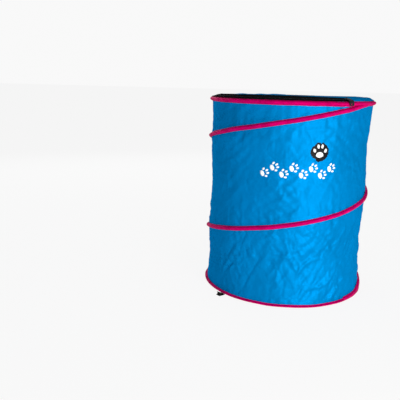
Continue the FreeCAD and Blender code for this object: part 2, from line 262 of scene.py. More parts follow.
def thread_finish(name, colour, pitch=0.0009, specular=0.2):
    """Satin embroidery: close parallel threads."""
    finish = Finish(name, colour, 0.42, specular=specular)
    along, up = finish.cloth_place()
    strands = finish.wave(finish.math("ADD", along, finish.math("MULTIPLY", up, 0.35)), pitch)
    dark, pale = shades(colour, 0.82, 1.0)
    # Painted shade: the colour darkens where the strand wave dips, in the grooves between threads.
    finish.colour(finish.ramp(strands, (0.0, dark), (0.6, pale)))
    finish.roughness(finish.noise(300.0), 0.34, 0.55)
    finish.bump(strands, 0.0002, 0.6)
    return finish.material


def moulded_finish(name, colour, roughness):
    """Moulded nylon with a faint grain."""
    finish = Finish(name, colour, roughness, specular=0.15)
    grain = finish.noise(700.0, 2.0)
    dark, pale = shades(colour, 0.8, 1.5)
    finish.colour(finish.ramp(finish.noise(60.0), (0.3, dark), (0.75, pale)))
    finish.roughness(grain, roughness - 0.06, roughness + 0.1)
    finish.bump(grain, 0.00008, 0.4)
    return finish.material


def lacquer_finish():
    """Black lacquered zinc, paler along its edges as a painted highlight, broken up by fine noise."""
    colour = (0.012, 0.012, 0.013)
    finish = Finish("slider_lacquer", colour, 0.34, specular=0.12)
    # Painted highlight: pointiness makes the colour paler along convex edges, with fine noise breaking the
    # line up.
    edge = finish.node("NewGeometry").outputs["Pointiness"]
    painted_edge_highlight = finish.math("ADD", edge, finish.math("MULTIPLY", finish.noise(500.0), 0.12))
    finish.colour(finish.ramp(painted_edge_highlight, (0.64, colour), (0.76, (0.10, 0.097, 0.094))))
    finish.roughness(finish.noise(260.0), 0.24, 0.44)
    finish.bump(finish.noise(900.0, 2.0), 0.00006, 0.4)
    return finish.material


def steel_finish(name, colour, roughness):
    """Drawn spring steel with faint lines and stains."""
    finish = Finish(name, colour, roughness, metallic=1.0)
    stain = finish.noise(45.0)
    dark, pale = shades(colour, 0.7, 1.1)
    finish.colour(finish.ramp(stain, (0.35, dark), (0.65, pale)))
    finish.roughness(stain, roughness - 0.08, roughness + 0.12)
    finish.bump(finish.noise(800.0, 2.0), 0.00005, 0.4)
    return finish.material


def stage_finish(name, diffuse, glow):
    """Pale matt paper, part lit and part glowing, so that it stays even."""
    finish = Finish(name, (diffuse,) * 3, 0.9, specular=0.0)
    finish.shader.inputs["Emission Color"].default_value = (1, 1, 1, 1)
    finish.shader.inputs["Emission Strength"].default_value = glow
    return finish.material


NYLON = nylon_finish()
MAGENTA = (0.50, 0.0, 0.105)
TRIM = tape_finish("trim_magenta", MAGENTA, 0.45, specular=0.0, metallic=0.25)
TRIM_THREAD = thread_finish("trim_thread", (0.53, 0.0, 0.12), specular=0.0)
WEBBING = tape_finish("webbing_black", (0.011, 0.011, 0.012), 0.7, rib=0.0021, specular=0.03)
ZIP_TAPE = tape_finish("zip_tape_black", (0.006, 0.006, 0.007), 0.72, specular=0.0)
ZIP_COIL = moulded_finish("zip_coil_black", (0.009, 0.009, 0.01), 0.38)
BLACK_THREAD = thread_finish("black_thread", (0.007, 0.007, 0.008), specular=0.06)
WHITE_THREAD = thread_finish("white_thread", (0.86, 0.87, 0.88))
LACQUER = lacquer_finish()
STEEL = steel_finish("spring_steel", (0.42, 0.42, 0.43), 0.32)
FERRULE = steel_finish("ferrule_steel", (0.62, 0.62, 0.63), 0.38)


# ---- mesh helpers --------------------------------------------------------------------------------
def polar(radius, degrees, height):
    """Points from radius, angle and height, which may be arrays."""
    angle = np.radians(degrees)
    radius, angle, height = np.broadcast_arrays(radius, angle, height)
    return np.stack([radius * np.cos(angle), radius * np.sin(angle), height], -1)


def grid_faces(rows, columns, closed_rows=False, closed_columns=False):
    """Quads of a grid of points; closed_columns joins the last column to the first."""
    row, column = np.meshgrid(
        np.arange(rows if closed_rows else rows - 1),
        np.arange(columns if closed_columns else columns - 1),
        indexing="ij",
    )
    row, column = row.ravel(), column.ravel()
    corners = [(row, column), (row, column + 1), (row + 1, column + 1), (row + 1, column)]
    faces = np.stack([(r % rows) * columns + c % columns for r, c in corners], -1)
    return faces, corners


def add_mesh(name, points, faces, material, corner_uv=None, smooth=True):
    """A mesh object; corner_uv holds one UV pair for each face corner."""
    mesh = bpy.data.meshes.new(name)
    points = np.asarray(points, float).reshape(-1, 3)
    mesh.from_pydata(points.tolist(), [], [[int(index) for index in face] for face in faces])
    if corner_uv is not None:
        layer = mesh.uv_layers.new(name="Cloth")
        layer.data.foreach_set("uv", np.asarray(corner_uv, np.float32).ravel())
    mesh.polygons.foreach_set("use_smooth", [smooth] * len(mesh.polygons))
    mesh.materials.append(material)
    mesh.update()
    made = bpy.data.objects.new(name, mesh)
    scene.collection.objects.link(made)
    return made


def add_grid(name, grid, material, step_u, step_v, **closed):
    """A mesh from a (rows, columns, 3) grid, with a UV map in metres."""
    rows, columns = grid.shape[:2]
    faces, corners = grid_faces(rows, columns, **closed)
    uv = np.stack([np.stack([c * step_u, r * step_v], -1) for r, c in corners], 1)
    return add_mesh(name, grid, faces, material, uv)


def add_disc(name, grid, material):
    """A mesh from rings of points, centre first; its UV map is the plan view in metres."""
    rings, columns = grid.shape[:2]
    grid[0] = grid[0].mean(0)
    faces, corners = grid_faces(rings, columns, closed_columns=True)
    uv = np.stack([grid.reshape(-1, 3)[r % rings * columns + c % columns, :2] for r, c in corners], 1)
    return add_mesh(name, grid, faces, material, uv)


def sweep(name, path, outs, ups, profile, material, closed=False):
    """A closed (out, up) profile carried along a path; ends are capped when the path is open."""
    profile = np.asarray(profile, float)
    grid = (
        path[:, None, :]
        + outs[:, None, :] * profile[None, :, 0:1]
        + ups[:, None, :] * profile[None, :, 1:2]
    )
    rows, columns = grid.shape[:2]
    step = np.linalg.norm(np.diff(path, axis=0), axis=1).mean()
    width = np.linalg.norm(np.diff(profile, axis=0), axis=1).mean()
    faces, corners = grid_faces(rows, columns, closed_rows=closed, closed_columns=True)
    uv = np.stack([np.stack([r * step, c * width], -1) for r, c in corners], 1).reshape(-1, 2)
    faces = [list(face) for face in faces]
    if not closed:
        uv = np.vstack([uv, profile, profile])
        faces.append(list(range(columns))[::-1])
        faces.append(list(range((rows - 1) * columns, rows * columns)))
    return add_mesh(name, grid, faces, material, uv)


def tangents(path):
    tangent = np.gradient(path, axis=0)
    return tangent / np.linalg.norm(tangent, axis=1, keepdims=True)


def lengths_along(line):
    """Length from the start of a line to each of its points."""
    return np.concatenate([[0], np.cumsum(np.linalg.norm(np.diff(line, axis=0), axis=1))])


def tube_frames(path, outward):
    """Unit sideways and up directions along a path, square to it."""
    tangent = tangents(path)
    out = outward - (outward * tangent).sum(1, keepdims=True) * tangent
    out /= np.linalg.norm(out, axis=1, keepdims=True)
    return out, np.cross(tangent, out)


def ring_profile(radius, sides=10):
    turn = np.linspace(0, 2 * math.pi, sides, endpoint=False)
    return np.stack([radius * np.cos(turn), radius * np.sin(turn)], -1)


def joined(name, parts, material):
    """Many small closed shapes, each (points, faces), as one piece."""
    points, faces, start = [], [], 0
    for part_points, part_faces in parts:
        points.append(np.asarray(part_points))
        faces += [[start + index for index in face] for face in part_faces]
        start += len(part_points)
    return add_mesh(name, np.vstack(points), faces, material)


def capsule(start, end, radius, sides=5):
    """A thread or tooth: a rod with pointed, rounded ends."""
    start, end = np.asarray(start), np.asarray(end)
    along = end - start
    axis = along / np.linalg.norm(along)
    side = np.cross(axis, [0.0, 0.0, 1.0])
    if np.linalg.norm(side) < 1e-3:
        side = np.cross(axis, [1.0, 0.0, 0.0])
    side /= np.linalg.norm(side)
    other = np.cross(axis, side)
    turn = np.linspace(0, 2 * math.pi, sides, endpoint=False)
    circle = np.outer(np.cos(turn), side) + np.outer(np.sin(turn), other)
    rings = [start + along * share + circle * radius * swell for share, swell in ((0.12, 0.8), (0.88, 0.8))]
    points = np.vstack([start[None], rings[0], rings[1], end[None]])
    faces = []
    for index in range(sides):
        after = (index + 1) % sides
        faces.append([0, 1 + after, 1 + index])
        faces.append([1 + index, 1 + after, 1 + sides + after, 1 + sides + index])
        faces.append([1 + sides + index, 1 + sides + after, 1 + 2 * sides])
    return points, faces


def spiral_height(degrees):
    """Height of the spiral's centre line where it passes each angle, counted from its lower end."""
    return BOTTOM_HOOP_Z + (degrees - SPIRAL_BOTTOM_ANGLE) / 360 * SPIRAL_PITCH


def eased_height(degrees):
    """The same, but running in along the two hoops, so that its trim stays off the floor."""
    lowest, blend = TRIM_WIDTH / 2 + 0.0003, 0.003
    height = lowest + blend * np.logaddexp(0, (spiral_height(degrees) - lowest) / blend)
    return TOP_HOOP_Z - blend * np.logaddexp(0, (TOP_HOOP_Z - height) / blend)


# ---- cloth simulation ----------------------------------------------------------------------------
def settle(start, rest, pinned, frames, tension, bending, gravity=0.0):
    """Lets a tube of cloth with the edge lengths of `rest` relax from `start`, held where pinned."""
    faces = grid_faces(*start.shape[:2], closed_columns=True)[0]
    points = start.reshape(-1, 3)
    mesh = bpy.data.meshes.new("settling")
    mesh.from_pydata(points.tolist(), [], faces.tolist())
    cloth = bpy.data.objects.new("settling", mesh)
    scene.collection.objects.link(cloth)
    cloth.vertex_groups.new(name="held").add(np.flatnonzero(pinned).tolist(), 1.0, "REPLACE")
    cloth.shape_key_add(name="start")
    cut = cloth.shape_key_add(name="cut")
    cut.data.foreach_set("co", rest.astype(np.float32).ravel())
    modifier = cloth.modifiers.new("Cloth", "CLOTH")
    settings = modifier.settings
    settings.vertex_group_mass = "held"
    settings.rest_shape_key = cut
    settings.quality = 6
    settings.mass = 0.02
    settings.air_damping = 3.0
    settings.tension_stiffness = settings.compression_stiffness = tension
    settings.shear_stiffness = tension / 2
    settings.bending_stiffness = bending
    settings.effector_weights.gravity = gravity
    modifier.point_cache.frame_start = 1
    modifier.point_cache.frame_end = frames
    for number in range(1, frames + 1):
        scene.frame_set(number)
    settled = cloth.evaluated_get(bpy.context.evaluated_depsgraph_get())
    result = np.zeros(len(points) * 3)
    settled.data.vertices.foreach_get("co", result)
    bpy.data.objects.remove(cloth)
    bpy.data.meshes.remove(mesh)
    scene.frame_set(1)
    result = result.reshape(start.shape)
    steady = np.isfinite(result).all() and np.abs(result - start).max() < 0.05
    return result if steady else start


def cubic_resample(grid, count, axis, closed):
    """Smoothly resamples a grid of values along one axis, by Catmull-Rom curves."""
    size = grid.shape[axis]
    place = np.linspace(0, size if closed else size - 1, count, endpoint=not closed)
    base = np.minimum(np.floor(place).astype(int), size - 1 if closed else size - 2)
    t = (place - base).reshape([-1 if a == axis else 1 for a in range(grid.ndim)])

    def at(offset):
        index = base + offset
        index = index % size if closed else np.clip(index, 0, size - 1)
        return np.take(grid, index, axis=axis)

    before, first, second, after = at(-1), at(0), at(1), at(2)
    return first + 0.5 * t * (
        second - before
        + t * (2 * before - 5 * first + 4 * second - after + t * (3 * (first - second) + after - before))
    )


def rough_field(shape, rows, columns, closed=True):
    """Smooth random values on a grid, with about `shape` bumps along its two sides."""
    rough = cubic_resample(random.normal(size=shape), rows, 0, False)
    return cubic_resample(rough, columns, 1, closed)


def refined(grid, rows, columns):
    """The same surface with more rows and columns; the columns go round."""
    return cubic_resample(cubic_resample(grid, rows, 0, False), columns, 1, True)


def pucker(count, size, seed_share):
    """Slow uneven values along a seam, for stitched cloth that isn't dead straight."""
    knots = random.normal(size=max(8, int(count * seed_share)))
    return cubic_resample(knots, count, 0, True) * size


# ---- the wall ------------------------------------------------------------------------------------
COARSE_COLUMNS, COARSE_ROWS = 240, 96
FINE_COLUMNS, FINE_ROWS = 560, 178
HELD_BAND = 0.006            # half the strip that a casing holds still
INWARD_PULL = 0.0075         # how far the skin pulls in, midway between the casings


def casing_lines(degrees):
    """Heights of the lines that hold the wall at each angle, lowest first."""
    lines = [np.full_like(degrees, BOTTOM_HOOP_Z)]
    for turn in range(4):
        height = spiral_height(degrees % 360 - 360 * 3 + 360 * turn)
        lines.append(np.clip(height, BOTTOM_HOOP_Z, TOP_HOOP_Z))
    lines.append(np.full_like(degrees, TOP_HOOP_Z))
    return lines


def wall_bands(degrees, height):
    """For each point, the height of its band and how far up in it the point is, from 0 to 1."""
    lines = casing_lines(degrees)
    below = np.full_like(height, BOTTOM_HOOP_Z)
    above = np.full_like(height, TOP_HOOP_Z)
    for line in lines:
        below = np.where(line <= height, np.maximum(below, line), below)
        above = np.where(line > height, np.minimum(above, line), above)
    span = np.maximum(above - below, 1e-4)
    return span, np.clip((height - below) / span, 0, 1)


def settled_wall():
    """The wall's skin as a coarse grid, tightened and twisted between the casings."""
    degrees = np.linspace(-180, 180, COARSE_COLUMNS, endpoint=False)
    heights = np.linspace(WALL_LOW, WALL_TOP, COARSE_ROWS)
    angle, height = np.meshgrid(degrees, heights)
    span, share = wall_bands(angle, height)
    depth = np.sin(math.pi * share) ** 2 * np.clip(span / SPIRAL_PITCH, 0, 1)
    rough = rough_field((24, 60), COARSE_ROWS, COARSE_COLUMNS)
    start = polar(WALL_RADIUS - INWARD_PULL * depth + 0.0006 * rough * depth, angle, height)
    twist_low, twist_high, middle = -0.055, 0.03, 0.34
    twist = np.where(height < middle, twist_low * height, twist_low * middle + twist_high * (height - middle))
    rest_angle = angle + np.degrees(twist / WALL_RADIUS)
    rest = polar(WALL_RADIUS * (1 - 0.016 * depth), rest_angle, height * 1.010)
    gap = np.minimum(share, 1 - share) * span
    pinned = (gap < HELD_BAND) | (height < BOTTOM_TRIM_WIDTH) | (height > TRIM_LOW)
    start[pinned] = polar(WALL_RADIUS, angle, height)[pinned]
    return settle(start, rest, pinned, 22, 30, 0.05)


def crease_relief(along, height, count, lengths, widths, slant, spread, depth, low, high):
    """Relief of short straight creases strewn over the cloth, leaning by about `slant` degrees."""
    relief = np.zeros_like(height)
    for _ in range(count):
        centre_along = random.uniform(0, GIRTH)
        centre_up = random.uniform(low, high)
        lean = math.radians(random.normal(slant, spread))
        length = random.uniform(*lengths)
        width = random.uniform(*widths)
        size = depth * random.uniform(0.4, 1.0) * random.choice([-1, 1])
        curve = random.normal(0, 2.0)
        offset = (along - centre_along + GIRTH / 2) % GIRTH - GIRTH / 2
        near = (abs(offset) < length) & (abs(height - centre_up) < length)
        u, v = offset[near], height[near] - centre_up
        run = (u * math.cos(lean) + v * math.sin(lean)) / length
        side = (-u * math.sin(lean) + v * math.cos(lean) + curve * run**2 * length) / width
        fade = np.clip(1 - (2 * run) ** 2, 0, 1) ** 1.5
        relief[near] += size * fade * np.exp(-np.abs(side) ** 1.4)
    return relief


def ridges(rows, columns, lean):
    """Sharp meandering ridges, 0 to about -1, about that many up and round the wall; lean tilts them."""
    rough = rough_field((rows, columns), FINE_ROWS, FINE_COLUMNS)
    step_up, step_round = (WALL_TOP - WALL_LOW) / (FINE_ROWS - 1), GIRTH / FINE_COLUMNS
    for row in range(FINE_ROWS):
        rough[row] = np.roll(rough[row], round(row * step_up * lean / step_round))
    return -np.abs(rough)


def pleats(along, height, slant, spacing, warp):
    """Sharp folds side by side, from -0.5 to 0.5, leaning by `slant` degrees, which come and go."""
    lean = math.radians(slant)
    turns = round(GIRTH * math.sin(lean) / spacing)
    phase = along / GIRTH * turns - height * math.cos(lean) / spacing
    phase += warp * rough_field((6, 16), FINE_ROWS, FINE_COLUMNS)
    ridge = 2 * np.abs(phase % 1 - 0.5) - 0.5
    return ridge * np.clip(0.7 * rough_field((9, 26), FINE_ROWS, FINE_COLUMNS), 0, 1)


def wall_grid():
    """The finished skin: the settled cloth, finer, with creases left from folding it away."""
    coarse = settled_wall()
    grid = refined(coarse, FINE_ROWS, FINE_COLUMNS)
    degrees = np.linspace(-180, 180, FINE_COLUMNS, endpoint=False)
    heights = np.linspace(WALL_LOW, WALL_TOP, FINE_ROWS)
    angle, height = np.meshgrid(degrees, heights)
    along = np.radians(angle + 180) * WALL_RADIUS
    span, share = wall_bands(angle, height)
    low_waist = np.sin(math.pi * share) ** 2 * np.clip((0.33 - height) / 0.1, 0, 1)
    relief = crease_relief(along, height, 520, (0.03, 0.09), (0.0026, 0.005), 0, 90, 0.0012, 0.02, 0.7)
    relief += crease_relief(along, height, 190, (0.09, 0.24), (0.0034, 0.007), 55, 12, 0.0026, 0.03, 0.27)
    relief += crease_relief(along, height, 130, (0.06, 0.15), (0.0032, 0.006), -48, 15, 0.0021, 0.04, 0.5)
    relief += crease_relief(along, height, 60, (0.1, 0.25), (0.006, 0.014), 4, 12, 0.0022, 0.5, 0.66)
    low_share = np.clip((0.30 - height) / 0.1, 0, 1)
    relief += 0.0009 * ridges(9, 42, 0.75) + 0.0007 * ridges(20, 70, -0.4)
    lower, upper = 0.4 + low_share, 1.4 - low_share
    for slant, spacing, depth, where in (
        (62, 0.052, 0.0034, lower), (48, 0.035, 0.0024, lower), (74, 0.040, 0.0018, lower),
        (-56, 0.043, 0.0024, lower), (-40, 0.030, 0.0014, upper), (33, 0.034, 0.0014, upper),
    ):
        relief += depth * where * pleats(along, height, slant, spacing, 0.3)
    gap = np.minimum(share, 1 - share) * span
    relief *= np.clip(gap / 0.022, 0, 1)
    pull = pucker(FINE_COLUMNS, 1.0, 0.2)[None] * np.exp(-gap / 0.02) * (1 - np.exp(-gap / 0.006))
    outward = polar(1.0, angle, 0.0)
    relief -= 0.0016 * np.abs(pull) + 0.0020 * low_waist
    return grid + outward * relief[..., None]


WALL = wall_grid()


def on_wall(along, height, lift):
    """Points on the wall: `along` runs to the right from the front's middle, `height` is z."""
    column = ((np.degrees(along / WALL_RADIUS) - 90 + 180) / 360 * FINE_COLUMNS) % FINE_COLUMNS
    row = (height - WALL_LOW) / (WALL_TOP - WALL_LOW) * (FINE_ROWS - 1)
    c, r = np.floor(column).astype(int), np.floor(row).astype(int)
    fc, fr = (column - c)[..., None], (row - r)[..., None]
    after = (c + 1) % FINE_COLUMNS
    low = WALL[r, c] * (1 - fc) + WALL[r, after] * fc
    high = WALL[r + 1, c] * (1 - fc) + WALL[r + 1, after] * fc
    point = low * (1 - fr) + high * fr
    outward = point * [1, 1, 0]
    outward /= np.linalg.norm(outward, axis=-1, keepdims=True)
    return point + outward * np.asarray(lift)[..., None]


def squashed(piece):
    """Rides on the base, with a mesh of its own."""
    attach(piece, "base")
    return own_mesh(piece)


def add_wall():
    wall = add_grid(
        "side_wall_nylon", WALL, NYLON, GIRTH / FINE_COLUMNS,
        (WALL_TOP - WALL_LOW) / (FINE_ROWS - 1), closed_columns=True,
    )
    squashed(wall)
    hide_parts("side_wall")


def add_seam():
    """Tape inside the wall's vertical seam, lying on the cloth."""
    low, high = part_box("side_seam_tape")
    centre = math.degrees(math.atan2((low.y + high.y) / 2, (low.x + high.x) / 2))
    heights = np.linspace(low.z, high.z, 420)
    across = np.array([-0.010, -0.0067, -0.0033, 0.0, 0.0033, 0.0067, 0.010])
    across = np.concatenate([across, across[::-1]])
    lift = np.concatenate([np.full(7, -0.0009), np.full(7, -0.0016)])
    up, aside = np.meshgrid(heights, across, indexing="ij")
    along = math.radians(centre + 90) * WALL_RADIUS + aside
    points = on_wall(along, up, np.broadcast_to(lift, up.shape))
    step = (high.z - low.z) / (len(heights) - 1)
    tape = add_grid("side_seam_binding", points, WEBBING, step, 0.0033, closed_columns=True)
    squashed(tape)
    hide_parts("side_seam_tape")


# ---- trim ----------------------------------------------------------------------------------------
def trim_profile(width):
    """Folded tape over a wire: two stitched edges with a round roll between them."""
    edge, roll = width / 2, width / 2 - 0.0017
    skirt, back = 0.0013, 0.0002
    points = [(back, -edge), (skirt, -edge), (skirt + 0.0002, -edge + 0.0008)]
    for turn in np.linspace(-90, 90, 15):
        out = skirt + (TRIM_DEPTH - skirt) * math.cos(math.radians(turn)) ** 0.8
        points.append((out, roll * math.sin(math.radians(turn))))
    points += [(skirt + 0.0002, edge - 0.0008), (skirt, edge), (back, edge)]
    return np.array(points)


def trim_frames(degrees, height):
    path = polar(WALL_RADIUS, degrees, height)
    outs, ups = tube_frames(path, polar(1.0, degrees, 0.0))
    return path, outs, ups


def stitch_line(path, outs, ups, up, out, length=0.0032, gap=0.0014, thickness=0.00035):
    """Stitches in a line beside the middle of a trim."""
    line = path + ups * up + outs * out
    reach = lengths_along(line)
    starts = np.arange(0, reach[-1] - length, length + gap)
    ends = starts + length
    first = np.stack([np.interp(starts, reach, line[:, axis]) for axis in range(3)], -1)
    last = np.stack([np.interp(ends, reach, line[:, axis]) for axis in range(3)], -1)
    return [capsule(a, b, thickness) for a, b in zip(first, last)]


def trim_stitches(name, path, outs, ups, width):
    """A line of stitches near each edge of a trim."""
    threads = []
    for side in (-1, 1):
        threads += stitch_line(path, outs, ups, side * (width / 2 - 0.0009), 0.0016)
    return joined(name, threads, TRIM_THREAD)


def add_hoop_trim(name, node, height, width, body):
    count = 420
    degrees = np.linspace(-180, 180, count, endpoint=False)
    path, outs, ups = trim_frames(degrees, height + pucker(count, 0.00025, 0.12))
    path += outs * pucker(count, 0.0002, 0.15)[:, None]
    outs = polar(1.0, degrees, 0.0)
    ups = np.tile([0.0, 0.0, 1.0], (count, 1))
    trim = sweep(name, path, outs, ups, trim_profile(width), TRIM, closed=True)
    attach(trim, body)
    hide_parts(node)
    ring = np.vstack([path, path[:1]])
    ring_outs, ring_ups = np.vstack([outs, outs[:1]]), np.vstack([ups, ups[:1]])
    stitches = trim_stitches(name + "_stitches", ring, ring_outs, ring_ups, width)
    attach(stitches, body)


def add_spiral():
    """The trim over the spiral wire, which runs out of the top hoop's trim and into the lower one."""
    count = 1000
    degrees = np.linspace(SPIRAL_BOTTOM_ANGLE - RUN_IN, SPIRAL_TOP_ANGLE, count)
    height = eased_height(degrees) + pucker(count, 0.0004, 0.08)
    height = np.maximum(height, TRIM_WIDTH / 2 + 0.0003)
    path, outs, ups = trim_frames(degrees, height)
    path += outs * (pucker(count, 0.0003, 0.1) + 0.0001)[:, None]
    ups *= np.sign(ups[:, 2:3])
    trim = sweep("spiral_trim", path, outs, ups, trim_profile(TRIM_WIDTH), TRIM)
    squashed(trim)
    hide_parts("spiral_casing")
    stitches = trim_stitches("spiral_trim_stitches", path, outs, ups, TRIM_WIDTH)
    squashed(stitches)
    inside = np.abs(spiral_height(degrees) - SPIRAL_RISE / 2) < SPIRAL_RISE / 2 - 0.012
    centre = polar(WIRE_CENTRE_RADIUS, degrees, spiral_height(degrees))[inside]
    wire_outs, wire_ups = tube_frames(centre, polar(1.0, degrees, 0.0)[inside])
    wire = sweep("spiral_spring_wire", centre, wire_outs, wire_ups, ring_profile(WIRE_RADIUS, 8), STEEL)
    squashed(wire)
    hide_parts("spiral_wire")


# ---- lid, flap and zip ---------------------------------------------------------------------------
def zip_place(across, up):
    """A point of the zip's cross-section as (radius, height)."""
    return (
        ZIP_LINE[0] + across * ZIP_ACROSS[0] + up * ZIP_UP[0],
        ZIP_LINE[1] + across * ZIP_ACROSS[1] + up * ZIP_UP[1],
    )


def bends_at_hinge(piece, *nodes):
    """Bakes its placement into its mesh and hides the frame's nodes that it stands in for."""
    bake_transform(piece)
    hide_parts(*nodes)
    return piece


def edge_lift(degrees):
    """How far the lid's sewn edge stands above its even slope: proud in front, sunk behind."""
    front = np.cos(np.radians(np.clip((degrees + 112 + 180) % 360 - 180, -52, 52) * 90 / 52))
    back = np.cos(np.radians(np.clip((degrees - 100 + 180) % 360 - 180, -85, 85) * 90 / 85))
    return 0.0042 * front - 0.0062 * back


LID_RINGS, LID_COLUMNS = 92, 480


def lid_grid(rings, columns):
    """The lid stretched flat between its edges, with the angle and share of radius of each point."""
    share = np.linspace(0, 1, rings) ** 0.9
    degrees = np.linspace(-180, 180, columns, endpoint=False)
    angle, reach = np.meshgrid(degrees, share)
    flat = polar(LID_RADIUS * reach, angle, LID_EDGE_Z + edge_lift(angle) * reach**3)
    return flat, angle, reach


def add_lid():
    """The lid, sagging in the middle and puffed up behind the front of the zip."""
    rings, columns = 34, 192
    flat, angle, reach = lid_grid(rings, columns)
    looseness = 0.0012 * rough_field((9, 26), rings, columns)
    start = flat.copy()
    inside = 1 - reach**4
    start[..., 2] += inside * (looseness - 0.004)
    start = settle(start, flat * [1.014, 1.014, 1], reach > 0.985, 26, 14, 0.03, 0.2)
    start[0] = start[0].mean(0)
    fine = refined(start, LID_RINGS, LID_COLUMNS)
    _, angle, reach = lid_grid(LID_RINGS, LID_COLUMNS)
    turn = (angle + 125 + 180) % 360 - 180
    puff = np.exp(-((turn / 34) ** 4)) * np.exp(-(((reach - 0.8) / 0.17) ** 2))
    fine[..., 2] += 0.009 * puff * (1 - reach**12)
    wave = sum(
        size * np.sin(np.radians(angle * count + shift))
        for count, size, shift in ((9, 0.5, 20), (17, 0.35, 140), (31, 0.25, 75))
    )
    fine[..., 2] += 0.0016 * wave * np.exp(-(((reach - 0.86) / 0.1) ** 2))
    lid = add_disc("lid_nylon", fine, NYLON)
    bends_at_hinge(lid, "lid_panel")


def sector(start, end, step=0.75):
    """Angles from start to end, going anticlockwise."""
    end = end if end > start else end + 360
    return np.linspace(start, end, int((end - start) / step) + 1)


def add_flap():
    """The unzipped sector behind the slider, sewn from the hoop's trim up to the lid."""
    degrees = sector(ZIP_FRONT_END, ZIP_REAR_END, 0.25)
    across = np.linspace(0, 1, 22)
    angle, share = np.meshgrid(degrees, across)
    lap = WALL_RADIUS + 0.0022
    lap_z = TRIM_TOP + 0.0009
    radius = lap + (LID_RADIUS - lap) * share
    height = lap_z + (LID_EDGE_Z - lap_z) * share
    ends = np.clip((angle - ZIP_FRONT_END) * (ZIP_REAR_END - angle) / 120, 0, 1)
    rough = rough_field((5, 15), 22, len(degrees), False)
    bulge = np.sin(math.pi * share) * (0.0035 + 0.0016 * rough) * ends
    grid = polar(radius + bulge * ZIP_UP[0], angle, height + bulge * ZIP_UP[1])
    step = math.radians(0.25) * LID_RADIUS
    flap = add_grid("hinge_flap_nylon", grid, NYLON, step, 0.0016)
    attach(flap, "top_hoop")
    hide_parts("hinge_flap")


def tape_path(degrees, across, up):
    radius, height = zip_place(across, up)
    return polar(radius, degrees, height)


def zip_frames(degrees):
    """The zip's across and up directions at each angle."""
    across = polar(ZIP_ACROSS[0], degrees, ZIP_ACROSS[1])
    up = polar(ZIP_UP[0], degrees, ZIP_UP[1])
    return across, up


def flat_profile(near, far, half, sides=3):
    """A thin strip's section with rounded edges, as (across, up)."""
    points = []
    for centre, start in ((far - half, -90), (near + half, 90)):
        for turn in np.linspace(start, start + 180, sides):
            turned = math.radians(turn)
            points.append((centre + half * math.cos(turned), half * math.sin(turned)))
    return points


def add_outer_tape():
    """From the coil down to the hoop's trim, where it bends flat and is sewn on."""
    degrees = sector(ZIP_REAR_END, ZIP_FRONT_END)
    half = 0.0004
    flat_z = TRIM_TOP + 0.0001
    slope_end = (WALL_RADIUS - ZIP_LINE[0]) / ZIP_ACROSS[0]
    upper = [(COIL_OUTER, half), (slope_end * 0.5, half * 1.6), (slope_end - 0.001, half)]
    lower = [(slope_end - 0.001, -half), (slope_end * 0.5, -half * 0.4), (COIL_OUTER, -half)]
    upper = [zip_place(*point) for point in upper]
    lower = [zip_place(*point) for point in lower]
    lap = [(WALL_RADIUS + 0.001, flat_z + 2 * half), (WALL_RADIUS + 0.003, flat_z + 1.7 * half),
           (WALL_RADIUS + 0.0034, flat_z + half), (WALL_RADIUS + 0.003, flat_z)]
    profile = np.array(upper + lap + lower) - ZIP_LINE
    path = tape_path(degrees, 0, 0)
    outs = polar(1.0, degrees, 0.0)
    ups = np.tile([0.0, 0.0, 1.0], (len(degrees), 1))
    tape = sweep("outer_zip_tape_woven", path, outs, ups, profile, ZIP_TAPE)
    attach(tape, "top_hoop")
    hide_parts("outer_zip_tape")
    sewn = polar(WALL_RADIUS + 0.0015, degrees, flat_z + 2 * half)
    across, up = zip_frames(degrees)
    threads = stitch_line(sewn, outs, ups, 0.0, 0.0)
    by_coil = tape_path(degrees, COIL_OUTER + 0.0012, half)
    threads += stitch_line(by_coil, across, up, 0.0, 0.0, 0.0022, 0.001)
    stitches = joined("outer_zip_tape_stitches", threads, BLACK_THREAD)
    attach(stitches, "top_hoop")


def lift_inner_edge(piece):
    """Tilts the tape with the lid's edge, about the coil that the slider needs in place."""
    for vertex in piece.data.vertices:
        radius = math.hypot(vertex.co.x, vertex.co.y)
        inward = ((ZIP_LINE[0] - radius) / ZIP_ACROSS[0] - COIL_OUTER) / ZIP_TAPE_WIDTH
        degrees = math.degrees(math.atan2(vertex.co.y, vertex.co.x))
        vertex.co.z += edge_lift(degrees) * min(max(inward, 0.0), 1.0)


def add_inner_tape():
    """Sewn round the lid's edge, in one strip."""
    degrees = sector(ZIP_REAR_END, ZIP_FRONT_END)
    centre = tape_path(degrees, 0, 0)
    across, up = zip_frames(degrees)
    profile = flat_profile(-COIL_OUTER - ZIP_TAPE_WIDTH, -COIL_OUTER, 0.0004)
    tape = sweep("inner_zip_tape_woven", centre, across, up, profile, ZIP_TAPE)
    lift_inner_edge(tape)
    bends_at_hinge(tape, "inner_zip_tape", "zip_end_tape")
    threads = []
    inner_seam = -COIL_OUTER - ZIP_TAPE_WIDTH + 0.002
    for place, length in ((-COIL_OUTER - 0.0012, 0.0022), (inner_seam, 0.0032)):
        threads += stitch_line(tape_path(degrees, place, 0.0004), across, up, 0.0, 0.0, length, 0.001)
    stitches = joined("inner_zip_tape_stitches", threads, BLACK_THREAD)
    lift_inner_edge(stitches)
    bends_at_hinge(stitches)


